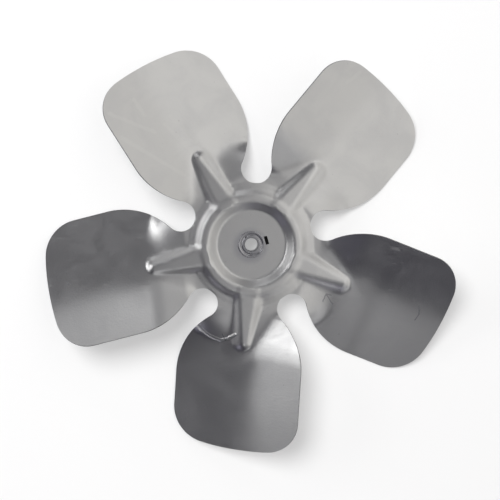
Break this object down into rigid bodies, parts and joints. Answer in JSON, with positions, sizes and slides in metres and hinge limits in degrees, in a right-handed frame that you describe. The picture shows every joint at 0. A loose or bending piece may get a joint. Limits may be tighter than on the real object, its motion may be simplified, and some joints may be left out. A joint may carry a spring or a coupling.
{
  "type": "fan blade",
  "caption": "Axial fan pressed from one aluminium sheet: dished centre with raised ring, star ribs and pitched paddle blades, on a staked steel hub bored for a motor shaft.",
  "frame": {"origin": "on the bore axis, at the hub's seat face against the underside of the dish", "axes": "+Z along the bore axis toward the discharge side, +X to the right in the picture's view from +Z"},
  "size_m": [0.2506, 0.2465, 0.0361],
  "materials": {
    "pressed_aluminium": "mill-finish rolled sheet with faint grain, scuffs and handling marks",
    "hub_steel": "turned steel, plain, with concentric tool marks",
    "screw_steel": "black oxide alloy steel"
  },
  "bodies": {
    "root": {"blade_sheet": "pressed_aluminium", "hub": "hub_steel", "set_screw": "screw_steel"}
  },
  "joints": []
}
